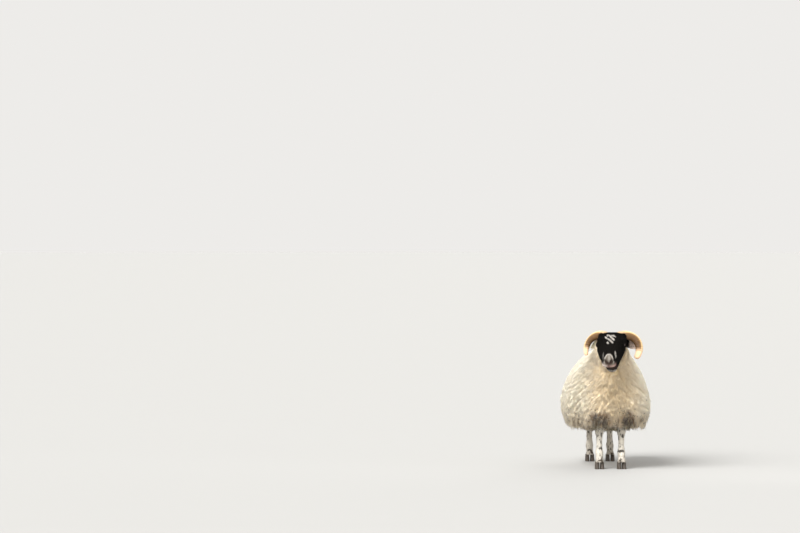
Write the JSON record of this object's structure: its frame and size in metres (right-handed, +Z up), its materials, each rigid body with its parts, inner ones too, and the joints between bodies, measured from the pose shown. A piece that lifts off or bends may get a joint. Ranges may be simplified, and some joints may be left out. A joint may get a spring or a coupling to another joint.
{
  "type": "sheep",
  "caption": "Still, life-size horned hill sheep for display, standing square in a long shaggy fleece with its head up and turned a little.",
  "frame": {"origin": "on the floor, under the middle of the whole animal's bounding box", "axes": "+X is the animal's left, +Y is towards its tail so that it faces -Y, +Z is up"},
  "size_m": [0.5028, 1.09, 0.7943],
  "materials": {
    "wool": "long cream wool in loose pointed locks, dirty along the hem",
    "face_hair": "short sleek black hair with broken white marks and a pale muzzle",
    "ear_hair": "short pale hair, pink and grey inside the cup",
    "leg_hair": "short mottled black and white hair",
    "horn": "ridged cream and brown horn, worn smooth at the tips",
    "claw": "dark worn horn of the cloven feet",
    "eye": "wet amber-brown eye"
  },
  "bodies": {
    "root": {"torso": "wool", "neck": "wool", "tail": "wool", "head": "face_hair", "eye_left": "eye", "horn_left": "horn", "ear_left": "ear_hair", "foreleg_left": "leg_hair", "claw_fore_left_outer": "claw", "claw_fore_left_inner": "claw", "hindleg_left": "leg_hair", "claw_hind_left_outer": "claw", "claw_hind_left_inner": "claw", "eye_right": "eye", "horn_right": "horn", "ear_right": "ear_hair", "foreleg_right": "leg_hair", "claw_fore_right_outer": "claw", "claw_fore_right_inner": "claw", "hindleg_right": "leg_hair", "claw_hind_right_outer": "claw", "claw_hind_right_inner": "claw"}
  },
  "joints": []
}
